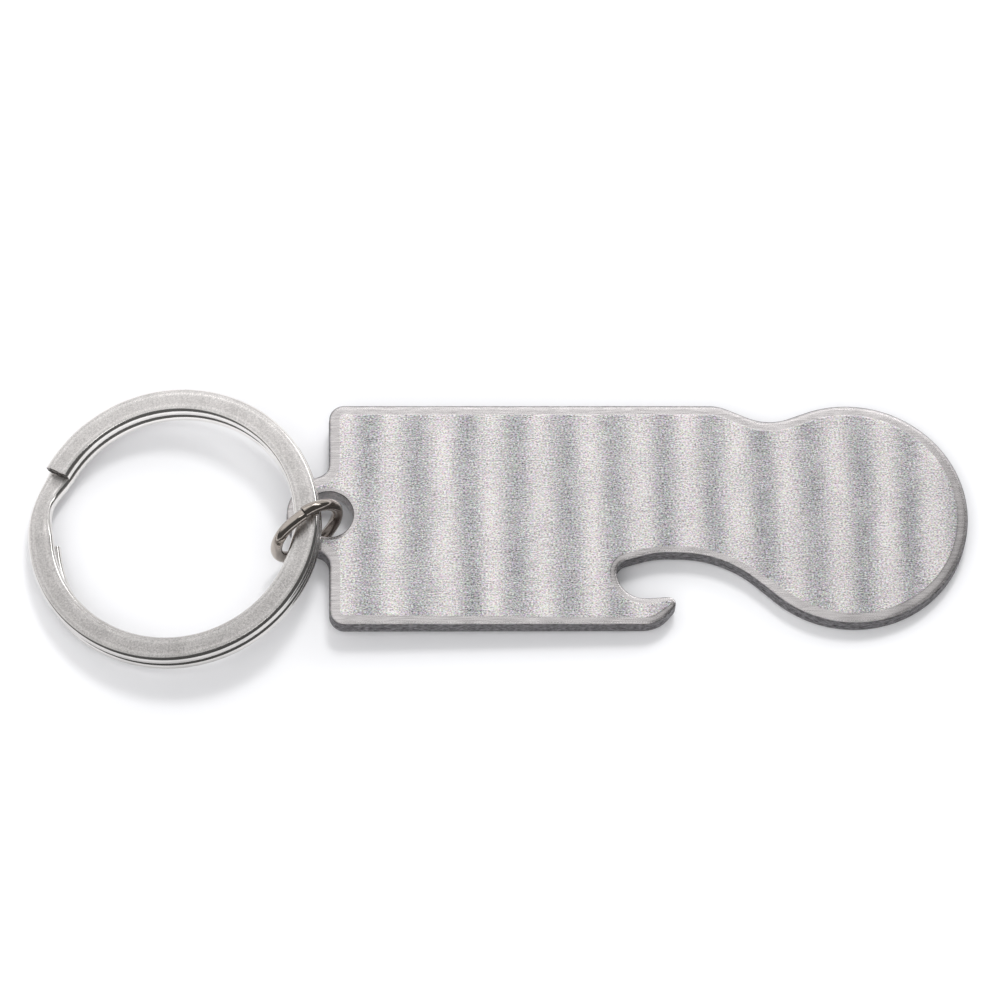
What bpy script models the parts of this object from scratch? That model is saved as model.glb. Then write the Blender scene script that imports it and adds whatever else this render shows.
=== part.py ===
"""Keyring bottle opener with a coin-sized head, built in metres with +Z up.

Three pieces: the stamped opener plate, the jump ring through the hole in its
lug, and the split ring that the jump ring holds. The origin is the centre of
the round head on the plate's underside, and the handle runs along -X. The
plate lies flat, and the rings lie as they do on a table: the jump ring stands
in the hole, and the split ring leans on the lug with its far side down.
"""

import math

import bpy
from mathutils import Matrix, Vector

MM = 0.001
OBJECT_NAME = "keyring_bottle_opener"

# Opener plate
PLATE_THICKNESS = 2.0 * MM
PLATE_EDGE_ROUND = 0.3 * MM
HEAD_RADIUS = 12.13 * MM
HANDLE_HALF_WIDTH = 12.2 * MM
HANDLE_END_X = -53.5 * MM
HANDLE_CORNER_RADIUS = 1.6 * MM
LUG_RADIUS = 4.35 * MM
LUG_FILLET_RADIUS = 1.5 * MM
LUG_HOLE_RADIUS = 2.45 * MM
ARC_TOLERANCE = 0.012 * MM

# Jump ring
JUMP_WIRE_DIAMETER = 1.2 * MM
JUMP_MEAN_RADIUS = 3.75 * MM
JUMP_CENTRE = Vector((-55.76 * MM, -2.2 * MM, 2.78 * MM))
JUMP_PLAN_ANGLE = math.radians(34.9)
JUMP_LEAN = math.radians(7.2)
JUMP_SEAM_GAP = 0.16 * MM
JUMP_SEAM_ANGLE = math.radians(91.0)
JUMP_SEGMENTS = 48

# Split ring
SPLIT_OUTER_RADIUS = 15.0 * MM
SPLIT_BAND_WIDTH = 2.65 * MM
SPLIT_TURN_HEIGHT = 1.4 * MM
SPLIT_TURN_GAP = 0.1 * MM
SPLIT_CORNER_RADIUS = 0.5 * MM
SPLIT_CENTRE_X = -69.2 * MM
SPLIT_CENTRE_Y = -1.45 * MM
SPLIT_TILT = math.radians(8.0)
SPLIT_LUG_CLEARANCE = 0.2 * MM
SPLIT_LIFT_ANGLE = math.radians(-3.6)
SPLIT_UPPER_END = math.radians(152.0)
SPLIT_STEP_START = math.radians(-177.0)
SPLIT_STEP_END = math.radians(-206.0)
SPLIT_LOWER_END = math.radians(-534.0)
SPLIT_POINTS_PER_TURN = 72

STEEL_BRUSHED = (0.52, 0.51, 0.52, 1.0)
NICKEL_DARK = (0.42, 0.40, 0.38, 1.0)
NICKEL_SATIN = (0.60, 0.59, 0.58, 1.0)


def clear_scene():
    for obj in list(bpy.data.objects):
        bpy.data.objects.remove(obj, do_unlink=True)


def new_collection(name):
    collection = bpy.data.collections.new(name)
    bpy.context.scene.collection.children.link(collection)
    return collection


def metal(name, colour, roughness):
    """A Principled metal of one colour and roughness."""
    material = bpy.data.materials.new(name)
    material.use_nodes = True
    shader = material.node_tree.nodes["Principled BSDF"]
    shader.inputs["Base Color"].default_value = colour
    shader.inputs["Metallic"].default_value = 1.0
    shader.inputs["Roughness"].default_value = roughness
    return material


def poly_curve(name, loops, closed, dimensions):
    """A curve object's data with one POLY spline for each list of points."""
    curve = bpy.data.curves.new(name, "CURVE")
    curve.dimensions = dimensions
    for points in loops:
        spline = curve.splines.new("POLY")
        spline.points.add(len(points) - 1)
        for spline_point, point in zip(spline.points, points):
            z = point[2] if len(point) > 2 else 0.0
            spline_point.co = (point[0], point[1], z, 1.0)
        spline.use_cyclic_u = closed
    return curve


def belt_outline(circles):
    """The outline of a belt run round circles: arcs joined by their common tangents.

    Each circle is (x, y, radius, turn). The belt is walked anticlockwise. It
    turns left round a circle whose turn is 1, an outside corner, and right
    round one whose turn is -1, an inside corner.
    """
    count = len(circles)
    headings = []
    for index in range(count):
        xa, ya, radius_a, turn_a = circles[index]
        xb, yb, radius_b, turn_b = circles[(index + 1) % count]
        distance = math.hypot(xb - xa, yb - ya)
        offset = (turn_b * radius_b - turn_a * radius_a) / distance
        offset = max(-1.0, min(1.0, offset))
        headings.append(math.atan2(yb - ya, xb - xa) - math.asin(offset))
    points = []
    for index in range(count):
        x, y, radius, turn = circles[index]
        start = headings[index - 1]
        sweep = (turn * (headings[index] - start)) % math.tau
        step = 2.0 * math.acos(1.0 - ARC_TOLERANCE / radius)
        steps = max(1, math.ceil(sweep / step))
        for k in range(steps + 1):
            heading = start + turn * sweep * k / steps
            px = x + turn * radius * math.sin(heading)
            py = y - turn * radius * math.cos(heading)
            if not points or math.hypot(px - points[-1][0], py - points[-1][1]) > 0.02 * MM:
                points.append((px, py))
    return points


def plate_circles():
    """The plate's corners, anticlockwise from the lower corner by the lug."""
    corner = HANDLE_CORNER_RADIUS
    corner_x = HANDLE_END_X + corner
    corner_y = HANDLE_HALF_WIDTH - corner
    fillet = LUG_FILLET_RADIUS
    fillet_x = HANDLE_END_X - fillet
    fillet_y = math.sqrt((LUG_RADIUS + fillet) ** 2 - fillet ** 2)
    belly = 3.6 * MM
    nose = 0.72 * MM
    pocket = 2.84 * MM
    pocket_top = 1.41 * MM
    ceiling_left = 9.45 * MM
    ceiling_right = 11.87 * MM
    neck = 5.67 * MM
    shoulder = 4.83 * MM
    return [
        (corner_x, -corner_y, corner, 1),
        (-21.7 * MM, belly - HANDLE_HALF_WIDTH, belly, 1),
        (-19.0 * MM, -9.85 * MM, nose, 1),
        (-21.37 * MM, -6.4 * MM, pocket, -1),
        (-22.79 * MM, -6.52 * MM, pocket_top, -1),
        (-18.9 * MM, -13.78 * MM, ceiling_left, -1),
        (-17.85 * MM, -16.22 * MM, ceiling_right, -1),
        (0.0, 0.0, HEAD_RADIUS, 1),
        (-7.93 * MM, 16.04 * MM, neck, -1),
        (-14.28 * MM, HANDLE_HALF_WIDTH - shoulder, shoulder, 1),
        (corner_x, corner_y, corner, 1),
        (fillet_x, fillet_y, fillet, -1),
        (HANDLE_END_X, 0.0, LUG_RADIUS, 1),
        (fillet_x, -fillet_y, fillet, -1),
    ]


def circle_points(x, y, radius):
    count = math.ceil(math.tau / (2.0 * math.acos(1.0 - ARC_TOLERANCE / radius)))
    angles = [math.tau * k / count for k in range(count)]
    return [(x + radius * math.cos(a), y + radius * math.sin(a)) for a in angles]


def make_plate(collection):
    """One sheet with the hook's notch, the lug and its hole."""
    hole = circle_points(HANDLE_END_X, 0.0, LUG_HOLE_RADIUS)
    loops = [belt_outline(plate_circles()), hole]
    curve = poly_curve("opener_plate", loops, True, "2D")
    curve.fill_mode = "BOTH"
    curve.extrude = PLATE_THICKNESS / 2.0
    plate = bpy.data.objects.new("opener_plate", curve)
    plate.location = (0.0, 0.0, PLATE_THICKNESS / 2.0)
    collection.objects.link(plate)
    weld = plate.modifiers.new("close_caps", "WELD")
    weld.merge_threshold = 0.000005
    bevel = plate.modifiers.new("rounded_edges", "BEVEL")
    bevel.width = PLATE_EDGE_ROUND
    bevel.segments = 2
    bevel.limit_method = "ANGLE"
    bevel.angle_limit = math.radians(60.0)
    curve.materials.append(metal("brushed_stainless", STEEL_BRUSHED, 0.35))
    return plate


def jump_ring_frame():
    """Rotation whose X and Y span the ring's plane, and whose Z is its axis."""
    along = Vector((math.cos(JUMP_PLAN_ANGLE), math.sin(JUMP_PLAN_ANGLE), 0.0))
    level_axis = Vector((math.sin(JUMP_PLAN_ANGLE), -math.cos(JUMP_PLAN_ANGLE), 0.0))
    axis = level_axis * math.cos(JUMP_LEAN) + Vector((0.0, 0.0, math.sin(JUMP_LEAN)))
    upward = axis.cross(along)
    return Matrix((along, upward, axis)).transposed()


def make_jump_ring(collection, hinge):
    """A round wire bent to a ring, with its butt joint left just open."""
    half_gap = JUMP_SEAM_GAP / (2.0 * JUMP_MEAN_RADIUS)
    first = JUMP_SEAM_ANGLE + half_gap
    sweep = math.tau - 2.0 * half_gap
    rotation = jump_ring_frame()
    points = []
    for k in range(JUMP_SEGMENTS + 1):
        angle = first + sweep * k / JUMP_SEGMENTS
        local = Vector((math.cos(angle), math.sin(angle), 0.0)) * JUMP_MEAN_RADIUS
        points.append(rotation @ local + JUMP_CENTRE - hinge.location)
    curve = poly_curve("jump_ring", [points], False, "3D")
    curve.bevel_depth = JUMP_WIRE_DIAMETER / 2.0
    curve.bevel_resolution = 2
    curve.use_fill_caps = True
    curve.materials.append(metal("polished_nickel", NICKEL_DARK, 0.15))
    ring = bpy.data.objects.new("jump_ring", curve)
    ring.parent = hinge
    collection.objects.link(ring)
    return ring


def rounded_section(width, height, radius):
    """The band's section, clockwise: a rectangle whose corners are two-step arcs."""
    points = []
    corners = [(1, -1, 0.0), (-1, -1, 0.25), (-1, 1, 0.5), (1, 1, 0.75)]
    for sign_x, sign_y, turn in corners:
        centre_x = sign_x * (width / 2.0 - radius)
        centre_y = sign_y * (height / 2.0 - radius)
        for k in range(3):
            angle = -math.tau * (turn + 0.125 * k)
            points.append((centre_x + radius * math.cos(angle), centre_y + radius * math.sin(angle)))
    return points


def smooth_step(value):
    value = max(0.0, min(1.0, value))
    return value * value * (3.0 - 2.0 * value)


def split_ring_path():
    """Nearly two turns: the upper one steps down beside its own end to the lower one."""
    radius = SPLIT_OUTER_RADIUS - SPLIT_BAND_WIDTH / 2.0
    pitch = SPLIT_TURN_HEIGHT + SPLIT_TURN_GAP
    sweep = SPLIT_UPPER_END - SPLIT_LOWER_END
    count = round(SPLIT_POINTS_PER_TURN * sweep / math.tau)
    points = []
    for k in range(count + 1):
        angle = SPLIT_UPPER_END - sweep * k / count
        dropped = (SPLIT_STEP_START - angle) / (SPLIT_STEP_START - SPLIT_STEP_END)
        height = pitch * (0.5 - smooth_step(dropped))
        points.append(Vector((radius * math.cos(angle), radius * math.sin(angle), height)))
    return points


def split_ring_height():
    return 2.0 * SPLIT_TURN_HEIGHT + SPLIT_TURN_GAP


def split_ring_placement():
    """World matrix of the ring: its underside just clears the lug's far edge."""
    contact_x = HANDLE_END_X - 0.75 * LUG_RADIUS
    underside_at_contact = PLATE_THICKNESS + SPLIT_LUG_CLEARANCE
    middle_at_contact = underside_at_contact + 0.5 * split_ring_height() / math.cos(SPLIT_TILT)
    centre_z = middle_at_contact - math.tan(SPLIT_TILT) * (contact_x - SPLIT_CENTRE_X)
    place = Matrix.Translation((SPLIT_CENTRE_X, SPLIT_CENTRE_Y, centre_z))
    return place @ Matrix.Rotation(-SPLIT_TILT, 4, "Y")


def split_ring_lift_point():
    """The middle of the band where it runs through the jump ring."""
    radius = SPLIT_OUTER_RADIUS - SPLIT_BAND_WIDTH / 2.0
    angle = SPLIT_LIFT_ANGLE
    local = Vector((radius * math.cos(angle), radius * math.sin(angle), 0.0))
    return split_ring_placement() @ local


def make_split_ring(collection, guides, hinge):
    """A flat band wound for nearly two turns, in the plane in which it rests."""
    section = rounded_section(SPLIT_BAND_WIDTH, SPLIT_TURN_HEIGHT, SPLIT_CORNER_RADIUS)
    section_curve = poly_curve("split_ring_section", [section], True, "2D")
    section_curve.fill_mode = "NONE"
    section_object = bpy.data.objects.new("split_ring_section", section_curve)
    section_object.hide_render = True
    section_object.display_type = "WIRE"
    guides.objects.link(section_object)
    curve = poly_curve("split_ring", [split_ring_path()], False, "3D")
    curve.bevel_mode = "OBJECT"
    curve.bevel_object = section_object
    curve.twist_mode = "Z_UP"
    curve.use_fill_caps = True
    curve.materials.append(metal("satin_nickel", NICKEL_SATIN, 0.3))
    ring = bpy.data.objects.new("split_ring", curve)
    ring.parent = hinge
    ring.matrix_local = hinge.matrix_basis.inverted() @ split_ring_placement()
    collection.objects.link(ring)
    return ring


def make_hinge(collection, name, location):
    """An empty at a joint's point, the parent of the piece that it moves."""
    hinge = bpy.data.objects.new(name, None)
    hinge.empty_display_size = 5.0 * MM
    hinge.location = location
    collection.objects.link(hinge)
    return hinge


def main():
    clear_scene()
    parts = new_collection(OBJECT_NAME)
    guides = new_collection("guides")
    make_plate(parts)
    swivel = make_hinge(parts, "swivel_point", (HANDLE_END_X, 0.0, PLATE_THICKNESS / 2.0))
    make_jump_ring(parts, swivel)
    lift = make_hinge(parts, "lift_point", split_ring_lift_point())
    make_split_ring(parts, guides, lift)


main()
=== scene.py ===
"""Looks of the keyring bottle opener: finished meshes, metals, floor, light and camera.

The three CAD nodes are replaced by finished meshes in the same boxes: the
stamped plate with its tumbled rim and sheared edge, the jump ring with its butt
joint, and the split ring with its step and its two cut ends. Unlike in the CAD,
the split ring's band narrows at the step and its lower end is set in a little.
"""

import math

import bmesh
import bpy
from mathutils import Matrix, Vector, noise


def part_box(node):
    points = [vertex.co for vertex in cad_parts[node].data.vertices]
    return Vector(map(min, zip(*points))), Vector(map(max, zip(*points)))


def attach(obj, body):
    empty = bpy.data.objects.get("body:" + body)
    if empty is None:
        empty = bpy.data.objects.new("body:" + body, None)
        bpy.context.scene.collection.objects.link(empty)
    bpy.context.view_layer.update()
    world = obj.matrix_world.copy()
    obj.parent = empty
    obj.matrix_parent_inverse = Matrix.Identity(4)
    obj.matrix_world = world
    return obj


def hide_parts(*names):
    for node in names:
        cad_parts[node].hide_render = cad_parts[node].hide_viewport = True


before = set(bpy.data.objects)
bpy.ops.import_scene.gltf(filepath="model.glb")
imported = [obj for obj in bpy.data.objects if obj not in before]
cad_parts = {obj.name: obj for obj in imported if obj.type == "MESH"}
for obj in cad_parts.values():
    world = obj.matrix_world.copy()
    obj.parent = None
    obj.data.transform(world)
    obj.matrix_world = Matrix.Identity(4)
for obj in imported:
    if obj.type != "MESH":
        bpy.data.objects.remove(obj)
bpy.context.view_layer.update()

MM = 0.001

# Opener plate, repeated from the CAD where its box doesn't give it
HANDLE_END_X = -53.5 * MM
HANDLE_CORNER_RADIUS = 1.6 * MM
LUG_FILLET_RADIUS = 1.5 * MM
LUG_HOLE_RADIUS = 2.45 * MM
NOSE_RADIUS = 0.72 * MM
RIM_WIDTH = 1.2 * MM
HOLE_RIM_WIDTH = 0.45 * MM
ARC_STEP = 0.22 * MM

# Jump ring
JUMP_WIRE_DIAMETER = 1.2 * MM
JUMP_MEAN_RADIUS = 3.75 * MM
JUMP_CENTRE = Vector((-55.76 * MM, -2.2 * MM, 2.78 * MM))
JUMP_PLAN_ANGLE = math.radians(34.9)
JUMP_LEAN = math.radians(7.2)
JUMP_SEAM_GAP = 0.16 * MM
JUMP_SEAM_ANGLE = math.radians(91.0)
JUMP_SEAM_OFFSET = 0.09 * MM
JUMP_STEPS = 180
JUMP_SIDES = 32

# Split ring
SPLIT_OUTER_RADIUS = 15.0 * MM
SPLIT_BAND_WIDTH = 2.65 * MM
SPLIT_TURN_HEIGHT = 1.4 * MM
SPLIT_TURN_GAP = 0.1 * MM
SPLIT_CORNER_RADIUS = 0.5 * MM
SPLIT_CENTRE = Vector((-69.2 * MM, -1.45 * MM, 1.916 * MM))
SPLIT_TILT = math.radians(8.0)
SPLIT_UPPER_END = math.radians(152.0)
SPLIT_STEP_START = math.radians(-177.0)
SPLIT_STEP_END = math.radians(-206.0)
SPLIT_LOWER_END = math.radians(-534.0)
SPLIT_STEP_ANGLE = math.radians(1.2)
SPLIT_CORNER_STEPS = 6
SPLIT_CROWN = 0.05 * MM
SPLIT_STEP_NARROWING = 0.22
SPLIT_END_INSET = 0.4 * MM
SPLIT_END_INSET_SWEEP = math.radians(40.0)

# Brushed steel: the cross bands' period and place along X, and how much each pattern changes the tone
BAND_PERIOD_IN_MM = 5.07
BAND_PHASE = 2.2
BAND_DRIFT = 1.8
BAND_CONTRAST = 0.26
STREAK_CONTRAST = 1.3
GRAIN_CONTRAST = 3.2
CLOUD_CONTRAST = 0.10
TINT_SHARE = 0.6

# Colours
STEEL_COOL = (0.60, 0.595, 0.615, 1.0)
STEEL_WARM = (0.67, 0.63, 0.625, 1.0)
STEEL_RIM = (0.595, 0.57, 0.57, 1.0)
SHEARED_DARK = (0.07, 0.067, 0.07, 1.0)
SHEARED_LIGHT = (0.30, 0.29, 0.30, 1.0)
BAND_POLISHED = (0.80, 0.78, 0.76, 1.0)
BAND_SATIN = (0.56, 0.54, 0.53, 1.0)
BAND_CUT_DARK = (0.035, 0.03, 0.028, 1.0)
BAND_CUT_LIGHT = (0.5, 0.47, 0.45, 1.0)
WIRE_DARK = (0.37, 0.33, 0.29, 1.0)
WIRE_LIGHT = (0.54, 0.49, 0.45, 1.0)
WIRE_CUT = (0.12, 0.10, 0.09, 1.0)
FLOOR_COLOUR = (0.92, 0.922, 0.94, 1.0)
WHITE = (1.0, 1.0, 1.0, 1.0)

# Camera, as fitted to the plate's outline
CAMERA_TARGET = Vector((-35.91 * MM, 2.37 * MM, 0.0))
CAMERA_DISTANCE = 448.68 * MM
CAMERA_ELEVATION = 1.1675
CAMERA_YAW = 0.1073
CAMERA_ROLL = -0.0978
CAMERA_LENS = 156.95
CAMERA_SENSOR = 36.0

# Stage
FLOOR_SIZE = 3.0
FLOOR_GAP = 0.02 * MM
SOFTBOX_TARGET = Vector((-0.035, 0.0, 0.0))
SOFTBOX_DISTANCE = 0.7
ROOM_STRENGTH = 0.10
PANEL_DIRECTION = (-0.55, 0.42, 0.72)
PANEL_STRENGTH = 0.98
BACKDROP_DIRECTION = (-0.1, 1.0, 0.0)
BACKDROP_STRENGTH = 0.78


def smooth_step(value):
    value = max(0.0, min(1.0, value))
    return value * value * (3.0 - 2.0 * value)


# Node helpers


class Graph:
    """Short calls for building a node tree."""

    def __init__(self, tree):
        self.tree = tree

    def add(self, kind, **settings):
        node = self.tree.nodes.new(kind)
        for name, value in settings.items():
            setattr(node, name, value)
        return node

    def plug(self, socket, value):
        """Links a socket to another, or sets its value."""
        if isinstance(value, bpy.types.NodeSocket):
            self.tree.links.new(value, socket)
        else:
            socket.default_value = value

    def math(self, operation, a, b=0.0, c=0.0):
        node = self.add("ShaderNodeMath", operation=operation)
        for socket, value in zip(node.inputs, (a, b, c)):
            self.plug(socket, value)
        return node.outputs[0]

    def vector_math(self, operation, a, b):
        node = self.add("ShaderNodeVectorMath", operation=operation)
        self.plug(node.inputs[0], a)
        self.plug(node.inputs[1], b)
        return node.outputs[0]

    def dot(self, a, b):
        node = self.add("ShaderNodeVectorMath", operation="DOT_PRODUCT")
        self.plug(node.inputs[0], a)
        self.plug(node.inputs[1], b)
        return node.outputs["Value"]

    def scaled(self, colour, level):
        """The colour, made lighter or darker by the level."""
        node = self.add("ShaderNodeVectorMath", operation="SCALE")
        self.plug(node.inputs[0], colour)
        self.plug(node.inputs["Scale"], level)
        return node.outputs[0]

    def ramp(self, value, low, high, to_low=0.0, to_high=1.0):
        """Maps low..high to to_low..to_high with soft ends."""
        node = self.add("ShaderNodeMapRange", interpolation_type="SMOOTHSTEP")
        for socket, item in zip(node.inputs, (value, low, high, to_low, to_high)):
            self.plug(socket, item)
        return node.outputs[0]

    def mix(self, factor, a, b, blend="MIX"):
        node = self.add("ShaderNodeMix", data_type="RGBA", blend_type=blend)
        self.plug(node.inputs["Factor"], factor)
        self.plug(node.inputs[6], a)
        self.plug(node.inputs[7], b)
        return node.outputs[2]

    def noise(self, point, detail=2.0, roughness=0.5, output="Fac"):
        """Noise whose cells are one unit wide in the given coordinates."""
        node = self.add("ShaderNodeTexNoise")
        self.plug(node.inputs["Vector"], point)
        node.inputs["Scale"].default_value = 1.0
        node.inputs["Detail"].default_value = detail
        node.inputs["Roughness"].default_value = roughness
        return node.outputs[output]

    def attribute(self, name):
        return self.add("ShaderNodeAttribute", attribute_name=name).outputs["Fac"]

    def position(self, cells_per_mm):
        """The object's own coordinates, in noise cells."""
        coordinates = self.add("ShaderNodeTexCoord").outputs["Object"]
        scale = tuple(value / MM for value in cells_per_mm)
        return self.vector_math("MULTIPLY", coordinates, scale)

    def bump(self, height, distance, normal=None):
        node = self.add("ShaderNodeBump")
        node.inputs["Strength"].default_value = 1.0
        node.inputs["Distance"].default_value = distance
        self.plug(node.inputs["Height"], height)
        if normal is not None:
            self.plug(node.inputs["Normal"], normal)
        return node.outputs[0]


def new_metal(name):
    """A material with a metallic Principled shader, its graph and the shader."""
    material = bpy.data.materials.new(name)
    material.use_nodes = True
    shader = material.node_tree.nodes["Principled BSDF"]
    shader.inputs["Metallic"].default_value = 1.0
    return material, Graph(material.node_tree), shader


def brushed_steel():
    """Steel brushed along X, with soft cross bands, a smooth rim and a dark sheared edge."""
    material, graph, shader = new_metal("brushed_stainless")
    rim = graph.attribute("rim")
    wall = graph.attribute("wall")
    face = graph.math("SUBTRACT", 1.0, graph.math("MAXIMUM", rim, wall))

    drift = graph.noise(graph.position((0.2, 0.05, 0.1)), 2.0)
    along = graph.dot(graph.position((1.0, 0.0, 0.0)), (1.0, 1.0, 1.0))
    phase = graph.math("MULTIPLY_ADD", along, math.tau / BAND_PERIOD_IN_MM, BAND_PHASE)
    phase = graph.math("MULTIPLY_ADD", drift, BAND_DRIFT, phase)
    band = graph.math("SINE", phase)
    band_share = graph.ramp(graph.noise(graph.position((0.25, 0.22, 0.1))), 0.25, 0.75, 0.45, 1.0)
    band = graph.math("MULTIPLY", band, band_share)

    streak = graph.noise(graph.position((0.5, 9.0, 1.0)), 3.0, 0.6)
    grain = graph.noise(graph.position((4.6, 8.5, 3.0)), 1.0, 0.9)
    cloud = graph.noise(graph.position((0.3, 0.5, 0.3)), 3.0)

    level = graph.math("MULTIPLY_ADD", graph.math("MULTIPLY", band, face), BAND_CONTRAST, 1.0)
    level = graph.math("MULTIPLY_ADD", graph.math("SUBTRACT", streak, 0.5), STREAK_CONTRAST, level)
    sparkle = graph.math("MULTIPLY", graph.math("SUBTRACT", grain, 0.5), face)
    level = graph.math("MULTIPLY_ADD", sparkle, GRAIN_CONTRAST, level)
    level = graph.math("MULTIPLY_ADD", graph.math("SUBTRACT", cloud, 0.5), CLOUD_CONTRAST, level)

    tint = graph.noise(graph.position((4.2, 7.5, 1.0)), 1.0, 0.8, "Color")
    warmth = graph.math("MULTIPLY_ADD", band, 0.5, 0.5)
    steel = graph.mix(warmth, STEEL_COOL, STEEL_WARM)
    steel = graph.mix(TINT_SHARE, steel, tint, "OVERLAY")
    steel = graph.mix(rim, steel, STEEL_RIM)
    lit = graph.scaled(steel, level)

    # The wall mask gives the sheared edge its dark, mottled colour; the share of it on the rim's outer roll
    # is painted shade
    mottle = graph.noise(graph.position((2.2, 2.2, 6.0)), 4.0, 0.65)
    edge = graph.mix(graph.ramp(mottle, 0.35, 0.68), SHEARED_DARK, SHEARED_LIGHT)
    graph.plug(shader.inputs["Base Color"], graph.mix(wall, lit, edge))

    rough = graph.math("MULTIPLY_ADD", grain, 0.14, 0.25)
    rough = graph.math("MULTIPLY_ADD", rim, -0.06, rough)
    rough = graph.math("MULTIPLY_ADD", wall, 0.16, rough)
    graph.plug(shader.inputs["Roughness"], rough)

    ripple = graph.bump(band, 0.018 * MM)
    fine = graph.math("MULTIPLY_ADD", streak, 0.6, graph.math("MULTIPLY", grain, 0.5))
    fine = graph.math("MULTIPLY", fine, graph.math("MULTIPLY_ADD", rim, -0.75, 1.0))
    fine = graph.math("MULTIPLY_ADD", graph.math("MULTIPLY", mottle, wall), 6.0, fine)
    normal = graph.bump(fine, 0.012 * MM, ripple)
    graph.plug(shader.inputs["Normal"], normal)
    return material


def satin_nickel():
    """Nickel with satin flats, bright rounded edges and dark rough cut ends."""
    material, graph, shader = new_metal("satin_nickel")
    satin = graph.attribute("satin")
    cut = graph.attribute("cut")
    frost = graph.noise(graph.position((6.0, 6.0, 6.0)), 2.0, 0.85)
    cloud = graph.noise(graph.position((0.4, 0.4, 0.4)), 3.0)

    level = graph.math("MULTIPLY_ADD", graph.math("SUBTRACT", cloud, 0.5), 0.35, 1.0)
    # Painted light: the tone rises slowly towards the ring's far side and falls towards its near side
    far_side_painted_light = graph.dot(graph.position((0.0, 0.012, 0.0)), (0.0, 1.0, 0.0))
    level = graph.math("ADD", level, far_side_painted_light)
    shine = graph.math("MULTIPLY", graph.math("SUBTRACT", frost, 0.5), satin)
    level = graph.math("MULTIPLY_ADD", shine, 1.5, level)
    lit = graph.scaled(graph.mix(satin, BAND_POLISHED, BAND_SATIN), level)
    torn = graph.noise(graph.position((3.0, 3.0, 5.0)), 3.0)
    end = graph.mix(graph.ramp(torn, 0.48, 0.72), BAND_CUT_DARK, BAND_CUT_LIGHT)
    graph.plug(shader.inputs["Base Color"], graph.mix(cut, lit, end))

    rough = graph.math("MULTIPLY_ADD", satin, 0.26, 0.07)
    rough = graph.math("MULTIPLY_ADD", cut, 0.25, rough)
    graph.plug(shader.inputs["Roughness"], rough)

    height = graph.math("MULTIPLY", frost, satin)
    height = graph.math("MULTIPLY_ADD", graph.math("MULTIPLY", torn, cut), 10.0, height)
    dents = graph.noise(graph.position((0.9, 0.9, 0.9)), 2.0)
    height = graph.math("MULTIPLY_ADD", dents, 0.35, height)
    graph.plug(shader.inputs["Normal"], graph.bump(height, 0.012 * MM))
    return material


def polished_nickel():
    """Dark, slightly warm nickel plate on drawn wire."""
    material, graph, shader = new_metal("polished_nickel")
    cut = graph.attribute("cut")
    cloud = graph.noise(graph.position((0.8, 0.8, 0.8)), 3.0)
    nickel = graph.mix(cloud, WIRE_DARK, WIRE_LIGHT)
    graph.plug(shader.inputs["Base Color"], graph.mix(cut, nickel, WIRE_CUT))
    wear = graph.noise(graph.position((4.0, 4.0, 4.0)), 3.0)
    rough = graph.math("MULTIPLY_ADD", wear, 0.10, 0.04)
    graph.plug(shader.inputs["Roughness"], graph.math("MULTIPLY_ADD", cut, 0.3, rough))
    dents = graph.noise(graph.position((1.3, 1.3, 1.3)), 2.0)
    graph.plug(shader.inputs["Normal"], graph.bump(dents, 0.02 * MM))
    return material


# Mesh helpers


def finish_mesh(name, bm, material, sharp_angle):
    """An object from bm, smooth except where its faces meet at more than sharp_angle."""
    bmesh.ops.recalc_face_normals(bm, faces=bm.faces)
    mesh = bpy.data.meshes.new(name)
    bm.to_mesh(mesh)
    bm.free()
    mesh.shade_smooth()
    mesh.set_sharp_from_angle(angle=sharp_angle)
    mesh.materials.append(material)
    obj = bpy.data.objects.new(name, mesh)
    bpy.context.scene.collection.objects.link(obj)
    return obj


def new_bmesh(*mask_names):
    """An empty bmesh with a vertex mask layer for each name, which the materials read."""
    bm = bmesh.new()
    for name in mask_names:
        bm.verts.layers.float.new(name)
    return bm


def add_ring(bm, points, masks):
    """A ring of vertices at the points, with the same mask values on each."""
    ring = [bm.verts.new(point) for point in points]
    for name, value in masks.items():
        layer = bm.verts.layers.float[name]
        for vert in ring:
            vert[layer] = value
    return ring


def bridge(bm, ring_a, ring_b):
    count = len(ring_a)
    for k in range(count):
        j = (k + 1) % count
        bm.faces.new((ring_a[k], ring_a[j], ring_b[j], ring_b[k]))


def ring_edges(bm, ring):
    count = len(ring)
    return [bm.edges.get((ring[k], ring[(k + 1) % count])) for k in range(count)]


# Opener plate


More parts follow.
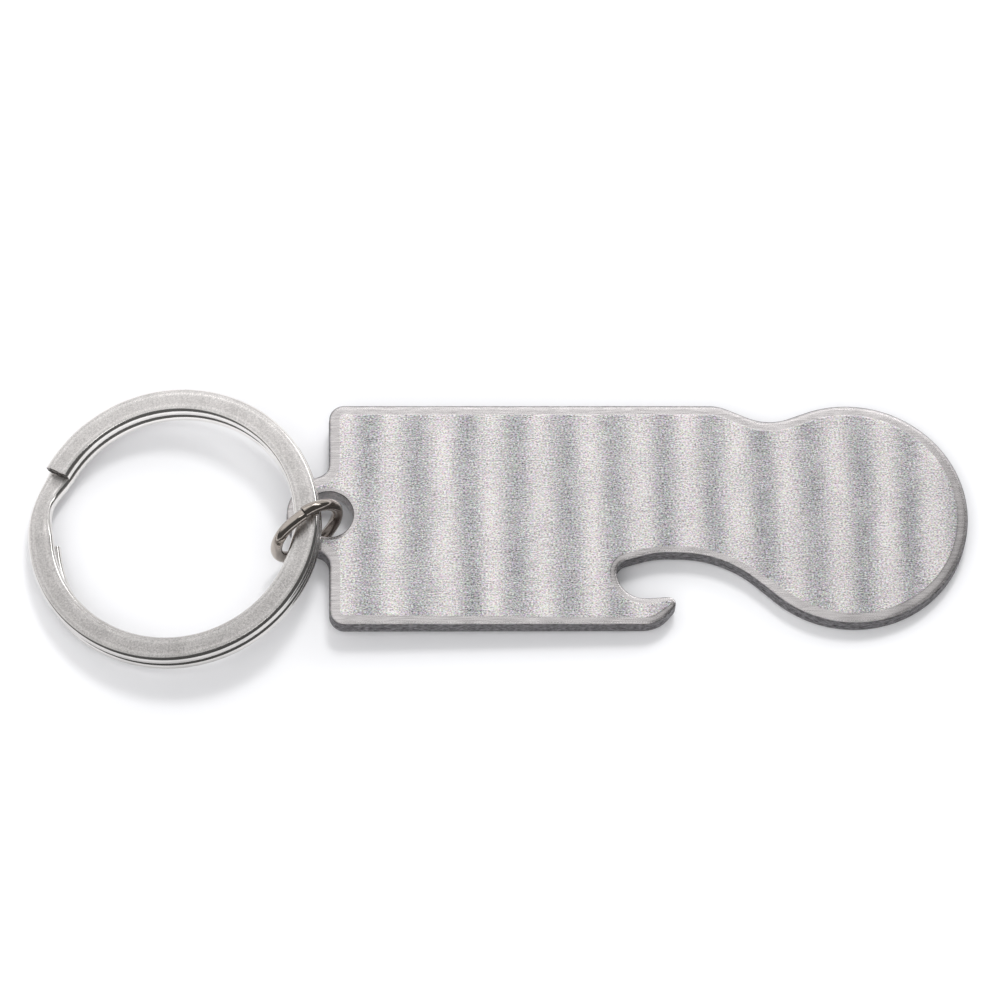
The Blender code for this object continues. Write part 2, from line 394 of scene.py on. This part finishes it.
def plate_corners():
    """The outline's corners as (x, y, radius, turn, rim share), anticlockwise from the lug.

    A turn of 1 is an outside corner, and -1 an inside one. The rim share narrows
    the rim where the hook is too slim for all of it.
    """
    low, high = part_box("opener_plate")
    half_width = high.y
    head_radius = high.x
    lug_radius = HANDLE_END_X - low.x
    corner = HANDLE_CORNER_RADIUS
    corner_x = HANDLE_END_X + corner
    corner_y = half_width - corner
    fillet = LUG_FILLET_RADIUS
    fillet_x = HANDLE_END_X - fillet
    fillet_y = math.sqrt((lug_radius + fillet) ** 2 - fillet ** 2)
    belly = 3.6 * MM
    shoulder = 4.83 * MM
    return [
        (corner_x, -corner_y, corner, 1, 1.0),
        (-21.7 * MM, belly - half_width, belly, 1, 0.7),
        (-19.0 * MM, -9.85 * MM, NOSE_RADIUS, 1, 0.45),
        (-21.37 * MM, -6.4 * MM, 2.84 * MM, -1, 0.65),
        (-22.79 * MM, -6.52 * MM, 1.41 * MM, -1, 0.65),
        (-18.9 * MM, -13.78 * MM, 9.45 * MM, -1, 0.65),
        (-17.85 * MM, -16.22 * MM, 11.87 * MM, -1, 0.65),
        (0.0, 0.0, head_radius, 1, 1.0),
        (-7.93 * MM, 16.04 * MM, 5.67 * MM, -1, 1.0),
        (-14.28 * MM, half_width - shoulder, shoulder, 1, 1.0),
        (corner_x, corner_y, corner, 1, 1.0),
        (fillet_x, fillet_y, fillet, -1, 1.0),
        (HANDLE_END_X, 0.0, lug_radius, 1, 1.0),
        (fillet_x, -fillet_y, fillet, -1, 1.0),
    ]


def tangent_headings(circles):
    """The heading of each straight run, from circle k to the next, of a belt round the circles."""
    headings = []
    for index, (xa, ya, radius_a, turn_a) in enumerate(circles):
        xb, yb, radius_b, turn_b = circles[(index + 1) % len(circles)]
        offset = (turn_b * radius_b - turn_a * radius_a) / math.hypot(xb - xa, yb - ya)
        offset = max(-1.0, min(1.0, offset))
        headings.append(math.atan2(yb - ya, xb - xa) - math.asin(offset))
    return headings


def outline(corners, inset, steps=None):
    """The outline moved in by inset, and the arc steps that each corner was given.

    Passing the steps of another inset gives the same number of points, so the
    loops can be joined.
    """
    circles = []
    for x, y, radius, turn, share in corners:
        circles.append((x, y, max(radius - turn * inset * share, 0.1 * radius), turn))
    headings = tangent_headings(circles)
    counts = []
    points = []
    for index, (x, y, radius, turn) in enumerate(circles):
        start = headings[index - 1]
        sweep = (turn * (headings[index] - start)) % math.tau
        if sweep > math.tau - 0.2:
            sweep = 0.0
        count = steps[index] if steps else max(2, math.ceil(sweep * radius / ARC_STEP))
        counts.append(count)
        for k in range(count + 1):
            heading = start + turn * sweep * k / count
            points.append((x + turn * radius * math.sin(heading), y - turn * radius * math.cos(heading)))
    return points, counts


def edge_profile(thickness, rim_width):
    """The edge from the underside's flat to the top's, as (inset, height, masks).

    Heights are given for a sheet 2 mm thick. The rim's insets are in rim widths,
    and the others in mm.
    """
    wall = {"rim": 0.0, "wall": 1.0}
    rim = {"rim": 1.0, "wall": 0.0}
    face = {"rim": 0.0, "wall": 0.0}
    back = [(0.45, 0.0, face), (0.32, 0.0, face), (0.14, 0.02, rim), (0.04, 0.08, wall)]
    shear = [(0.0, 0.2, wall), (0.0, 0.84, wall), (0.025, 0.9, wall), (0.05, 0.96, wall), (0.04, 1.5, wall)]
    # The rim's outer roll is painted part of the way to the sheared edge's dark colour: painted shade on
    # the rounded edge, around the outline and the hole
    rolled_edge_painted_shade = {"rim": 0.2, "wall": 0.8}
    soft = {"rim": 0.7, "wall": 0.3}
    shoulder = [(0.045, 1.80, wall), (0.065, 1.845, rolled_edge_painted_shade), (0.11, 1.88, rolled_edge_painted_shade), (0.18, 1.912, soft)]
    shelf = [(0.25, 1.942, rim), (0.42, 1.962, rim), (0.65, 1.978, rim), (0.88, 1.989, rim)]
    top = [(0.96, 1.997, face), (1.0, 2.0, face), (1.05, 2.0, face)]
    profile = []
    for inset, height, masks in back + shear + shoulder:
        profile.append((inset * MM, height / 2.0 * thickness, masks))
    for inset, height, masks in shelf + top:
        profile.append((inset * rim_width, height / 2.0 * thickness, masks))
    return profile


def make_plate(material):
    """The stamped sheet: a loft round the outline and the hole, closed by two flat faces."""
    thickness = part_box("opener_plate")[1].z
    corners = plate_corners()
    steps = outline(corners, 0.0)[1]
    hole_count = math.ceil(math.tau * LUG_HOLE_RADIUS / ARC_STEP)
    bm = new_bmesh("rim", "wall")
    outer_rings = []
    for inset, height, masks in edge_profile(thickness, RIM_WIDTH):
        loop = outline(corners, inset, steps)[0]
        outer_rings.append(add_ring(bm, [(x, y, height) for x, y in loop], masks))
    # The hole's wall is smoother than the sheared outline, so it takes the rim's look
    hole_wall = {"rim": 0.85, "wall": 0.15}
    # Its rim's outer roll keeps the painted shade from edge_profile's shoulder
    hole_rings = []
    for inset, height, masks in edge_profile(thickness, HOLE_RIM_WIDTH):
        if masks["wall"] == 1.0:
            masks = hole_wall
        radius = LUG_HOLE_RADIUS + inset
        angles = [math.tau * k / hole_count for k in range(hole_count)]
        loop = [(HANDLE_END_X + radius * math.cos(a), radius * math.sin(a), height) for a in angles]
        hole_rings.append(add_ring(bm, loop, masks))
    for rings in (outer_rings, hole_rings):
        for ring_a, ring_b in zip(rings, rings[1:]):
            bridge(bm, ring_a, ring_b)
    for end in (0, -1):
        edges = ring_edges(bm, outer_rings[end]) + ring_edges(bm, hole_rings[end])
        bmesh.ops.triangle_fill(bm, edges=edges, use_beauty=True)
    bmesh.ops.remove_doubles(bm, verts=bm.verts, dist=0.0005 * MM)
    plate = finish_mesh("stamped_plate", bm, material, math.radians(50.0))
    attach(plate, "opener")
    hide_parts("opener_plate")


# Sweeps


def sweep_rings(bm, stations, section):
    """Rings of the section along the stations, joined.

    A station is (centre, across, up, width share).
    """
    rings = []
    for centre, across, up, share in stations:
        points = [centre + across * (x * share) + up * y for x, y, _ in section]
        rings.append(add_ring(bm, points, {"cut": 0.0}))
    satin = bm.verts.layers.float["satin"]
    for ring in rings:
        for vert, (_, _, mask) in zip(ring, section):
            vert[satin] = mask
    for ring_a, ring_b in zip(rings, rings[1:]):
        bridge(bm, ring_a, ring_b)
    return rings


def cut_end(bm, ring, outward, depth, roughness, seed):
    """Closes a sweep with a torn, slightly hollow end face."""
    centre = sum((vert.co for vert in ring), Vector()) / len(ring)
    shares = ((0.93, 0.35), (0.72, 0.1), (0.4, -0.1))
    last = ring
    for index, (share, push) in enumerate(shares):
        points = []
        for vert in ring:
            point = centre + (vert.co - centre) * share + outward * (depth * push)
            wobble = noise.noise(point / (0.35 * MM) + Vector((seed, index, 0.0)))
            points.append(point + outward * (wobble * roughness))
        inner = add_ring(bm, points, {"cut": 1.0})
        bridge(bm, last, inner)
        last = inner
    bm.faces.new(last)


# Jump ring


def jump_ring_axes():
    """The ring's plane as its level and upward directions, and its axis."""
    along = Vector((math.cos(JUMP_PLAN_ANGLE), math.sin(JUMP_PLAN_ANGLE), 0.0))
    level_axis = Vector((math.sin(JUMP_PLAN_ANGLE), -math.cos(JUMP_PLAN_ANGLE), 0.0))
    axis = level_axis * math.cos(JUMP_LEAN) + Vector((0.0, 0.0, math.sin(JUMP_LEAN)))
    return along, axis.cross(along), axis


def make_jump_ring(material):
    """Round wire whose two cut ends meet a little out of line."""
    along, upward, axis = jump_ring_axes()
    half_gap = JUMP_SEAM_GAP / (2.0 * JUMP_MEAN_RADIUS)
    sweep = math.tau - 2.0 * half_gap
    stations = []
    for k in range(JUMP_STEPS + 1):
        share = k / JUMP_STEPS
        angle = JUMP_SEAM_ANGLE + half_gap + sweep * share
        radial = along * math.cos(angle) + upward * math.sin(angle)
        bend = smooth_step(1.0 - share * 8.0) - smooth_step(1.0 - (1.0 - share) * 8.0)
        centre = JUMP_CENTRE + radial * JUMP_MEAN_RADIUS + axis * (bend * JUMP_SEAM_OFFSET)
        stations.append((centre, radial, axis, 1.0))
    radius = JUMP_WIRE_DIAMETER / 2.0
    angles = [math.tau * k / JUMP_SIDES for k in range(JUMP_SIDES)]
    section = [(radius * math.cos(a), radius * math.sin(a), 0.0) for a in angles]
    bm = new_bmesh("satin", "cut")
    rings = sweep_rings(bm, stations, section)
    first = (stations[0][0] - stations[1][0]).normalized()
    final = (stations[-1][0] - stations[-2][0]).normalized()
    cut_end(bm, rings[0], first, 0.04 * MM, 0.02 * MM, 3.0)
    cut_end(bm, rings[-1], final, 0.04 * MM, 0.02 * MM, 7.0)
    ring = finish_mesh("jump_ring_wire", bm, material, math.radians(60.0))
    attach(ring, "jump_ring")
    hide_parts("jump_ring")


# Split ring


def band_section():
    """The band's rounded section as (across, up, satin).

    The two flats are slightly crowned and satin, and the corners are polished.
    """
    radius = SPLIT_CORNER_RADIUS
    half_width = SPLIT_BAND_WIDTH / 2.0 - radius
    half_height = SPLIT_TURN_HEIGHT / 2.0 - SPLIT_CROWN - radius
    points = []
    for index, (sign_x, sign_y) in enumerate(((1, 1), (-1, 1), (-1, -1), (1, -1))):
        for k in range(SPLIT_CORNER_STEPS + 1):
            angle = math.tau * (index + k / SPLIT_CORNER_STEPS) / 4.0
            x = sign_x * half_width + radius * math.cos(angle)
            y = sign_y * half_height + radius * math.sin(angle)
            satin = smooth_step((abs(math.sin(angle)) - 0.9) / 0.09)
            points.append((x, y, satin))
        if index in (0, 2):
            for share in (-0.8, -0.5, -0.2, 0.2, 0.5, 0.8):
                height = half_height + radius + SPLIT_CROWN * (1.0 - share * share)
                satin = 0.6 if abs(share) > 0.7 else 1.0
                points.append((-sign_x * half_width * share, sign_y * height, satin))
    return points


def band_station(angle):
    """The band's centre, outward direction and width share at an angle.

    It narrows where it steps down, and its lower end is set in.
    """
    pitch = SPLIT_TURN_HEIGHT + SPLIT_TURN_GAP
    dropped = (SPLIT_STEP_START - angle) / (SPLIT_STEP_START - SPLIT_STEP_END)
    height = pitch * (0.5 - smooth_step(dropped))
    squeeze = smooth_step(1.0 - abs(dropped - 0.55) * 1.6)
    share = 1.0 - SPLIT_STEP_NARROWING * squeeze
    inset = SPLIT_END_INSET * smooth_step((SPLIT_LOWER_END - angle) / SPLIT_END_INSET_SWEEP + 1.0)
    middle = SPLIT_OUTER_RADIUS - SPLIT_BAND_WIDTH / 2.0 * share - inset
    radial = Vector((math.cos(angle), math.sin(angle), 0.0))
    return radial * middle + Vector((0.0, 0.0, height)), radial, share


def make_split_ring(material):
    """A flat band wound for nearly two turns."""
    place = Matrix.Translation(SPLIT_CENTRE) @ Matrix.Rotation(-SPLIT_TILT, 4, "Y")
    sweep = SPLIT_LOWER_END - SPLIT_UPPER_END
    count = round(-sweep / SPLIT_STEP_ANGLE)
    stations = []
    for k in range(count + 1):
        angle = SPLIT_UPPER_END + sweep * k / count
        centre, radial, share = band_station(angle)
        ahead = band_station(angle - 0.01)[0] - centre
        up = radial.cross(ahead).normalized()
        stations.append((centre, radial, up if up.z > 0.0 else -up, share))
    bm = new_bmesh("satin", "cut")
    rings = sweep_rings(bm, stations, band_section())
    first = (stations[0][0] - stations[1][0]).normalized()
    final = (stations[-1][0] - stations[-2][0]).normalized()
    cut_end(bm, rings[0], first, 0.1 * MM, 0.12 * MM, 1.0)
    cut_end(bm, rings[-1], final, 0.1 * MM, 0.06 * MM, 5.0)
    bmesh.ops.transform(bm, matrix=place, verts=bm.verts)
    ring = finish_mesh("split_ring_band", bm, material, math.radians(60.0))
    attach(ring, "split_ring")
    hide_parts("split_ring")


# Stage


def floor_slope():
    """The floor's fall per metre towards -X: the head's rim and the jump ring stand on it."""
    head_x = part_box("opener_plate")[1].x
    jump_low, jump_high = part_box("jump_ring")
    return jump_low.z / (head_x - (jump_low.x + jump_high.x) / 2.0)


def make_floor():
    """A plain pale floor under the head's rim and the jump ring."""
    slope = floor_slope()
    head_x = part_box("opener_plate")[1].x
    bpy.ops.mesh.primitive_plane_add(size=FLOOR_SIZE)
    floor = bpy.context.object
    floor.name = "floor"
    floor.location = (head_x, 0.0, -FLOOR_GAP)
    floor.rotation_euler = (0.0, math.atan(slope), 0.0)
    material = bpy.data.materials.new("pale_floor")
    material.use_nodes = True
    shader = material.node_tree.nodes["Principled BSDF"]
    shader.inputs["Base Color"].default_value = FLOOR_COLOUR
    shader.inputs["Roughness"].default_value = 0.7
    shader.inputs["Specular IOR Level"].default_value = 0.2
    floor.data.materials.append(material)


def make_world():
    """A white backdrop behind and a white panel above, towards the rings, in an otherwise dim room."""
    world = bpy.data.worlds.new("backdrop")
    bpy.context.scene.world = world
    world.use_nodes = True
    graph = Graph(world.node_tree)
    background = world.node_tree.nodes["Background"]
    direction = graph.add("ShaderNodeTexCoord").outputs["Generated"]
    towards_panel = graph.dot(direction, PANEL_DIRECTION)
    panel = graph.ramp(towards_panel, 0.53, 0.77, ROOM_STRENGTH, PANEL_STRENGTH)
    towards_backdrop = graph.dot(direction, BACKDROP_DIRECTION)
    backdrop = graph.ramp(towards_backdrop, 0.42, 0.65, ROOM_STRENGTH, BACKDROP_STRENGTH)
    graph.plug(background.inputs["Strength"], graph.math("MAXIMUM", panel, backdrop))
    background.inputs["Color"].default_value = WHITE


def add_softbox(name, azimuth, elevation, size, power, mirrored):
    """An area light that faces the object. Angles are in degrees, and an azimuth of 0 is +X.

    A mirrored one shows in the metals.
    """
    turn = math.radians(azimuth)
    rise = math.radians(elevation)
    level = math.cos(rise)
    towards = Vector((level * math.cos(turn), level * math.sin(turn), math.sin(rise)))
    light = bpy.data.lights.new(name, "AREA")
    light.shape = "RECTANGLE"
    light.size, light.size_y = size
    light.energy = power
    obj = bpy.data.objects.new(name, light)
    obj.location = SOFTBOX_TARGET + towards * SOFTBOX_DISTANCE
    obj.rotation_euler = towards.to_track_quat("Z", "Y").to_euler()
    obj.visible_glossy = mirrored
    bpy.context.scene.collection.objects.link(obj)


def make_lights():
    """A small key for the shadows, a broad fill, and three that draw bright lines on the metals."""
    add_softbox("key_softbox", 80.0, 62.0, (0.15, 0.15), 1.45, False)
    add_softbox("side_softbox", 50.0, 38.0, (0.5, 0.12), 0.55, True)
    add_softbox("back_softbox", 88.0, 50.0, (0.5, 0.06), 0.12, True)
    add_softbox("top_softbox", 292.0, 76.0, (0.2, 0.12), 0.2, True)
    add_softbox("fill_softbox", 262.0, 50.0, (0.9, 0.9), 3.25, False)


def make_camera():
    """A long lens, looking down steeply from the side of the hook."""
    level = math.cos(CAMERA_ELEVATION)
    steep = math.sin(CAMERA_ELEVATION)
    right = Vector((math.cos(CAMERA_YAW), -math.sin(CAMERA_YAW), 0.0))
    up = Vector((math.sin(CAMERA_YAW) * steep, math.cos(CAMERA_YAW) * steep, level))
    back = Vector((-math.sin(CAMERA_YAW) * level, -math.cos(CAMERA_YAW) * level, steep))
    rolled_right = right * math.cos(CAMERA_ROLL) - up * math.sin(CAMERA_ROLL)
    rolled_up = right * math.sin(CAMERA_ROLL) + up * math.cos(CAMERA_ROLL)
    data = bpy.data.cameras.new("camera")
    data.lens = CAMERA_LENS
    data.sensor_width = CAMERA_SENSOR
    camera = bpy.data.objects.new("camera", data)
    place = Matrix.Translation(CAMERA_TARGET + back * CAMERA_DISTANCE)
    camera.matrix_world = place @ Matrix((rolled_right, rolled_up, back)).transposed().to_4x4()
    bpy.context.scene.collection.objects.link(camera)
    bpy.context.scene.camera = camera


def main():
    make_camera()
    make_plate(brushed_steel())
    make_jump_ring(polished_nickel())
    make_split_ring(satin_nickel())
    make_floor()
    make_world()
    make_lights()
    bpy.context.scene.view_settings.view_transform = "Standard"


main()
